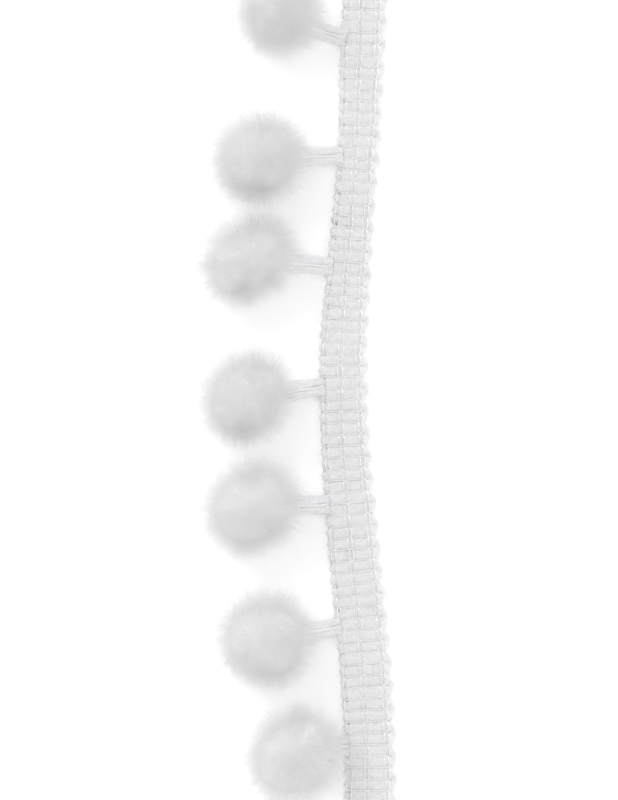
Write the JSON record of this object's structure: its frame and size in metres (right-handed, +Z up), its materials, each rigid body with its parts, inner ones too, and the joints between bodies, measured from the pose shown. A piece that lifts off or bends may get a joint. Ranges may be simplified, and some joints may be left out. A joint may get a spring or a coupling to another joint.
{
  "type": "pompom fringe trim",
  "caption": "Length of fringe trim laid out flat in a gentle S-curve: a narrow crochet-knit tape with clipped yarn pompoms on short hanging loops along one edge.",
  "frame": {"origin": "middle of the trim's box in plan, on the surface that it lies on", "axes": "+Y along the tape towards its far end, +X to the side away from the pompoms, +Z up"},
  "size_m": [0.0416, 0.179, 0.0207],
  "materials": {
    "tape_yarn": "matte, puffy white yarn",
    "pompom_yarn": "velvety cut pile, soft white",
    "stem_yarn": "matte white yarn bundles",
    "shiny_thread": "lustrous white filament thread"
  },
  "bodies": {
    "root": {"tape": "tape_yarn", "pompom_1": "pompom_yarn", "pompom_2": "pompom_yarn", "pompom_3": "pompom_yarn", "pompom_4": "pompom_yarn", "pompom_5": "pompom_yarn", "pompom_6": "pompom_yarn", "pompom_7": "pompom_yarn", "stem_1": "stem_yarn", "stem_2": "stem_yarn", "stem_3": "stem_yarn", "stem_4": "stem_yarn", "stem_5": "stem_yarn", "stem_6": "stem_yarn", "stem_7": "stem_yarn"}
  },
  "joints": []
}
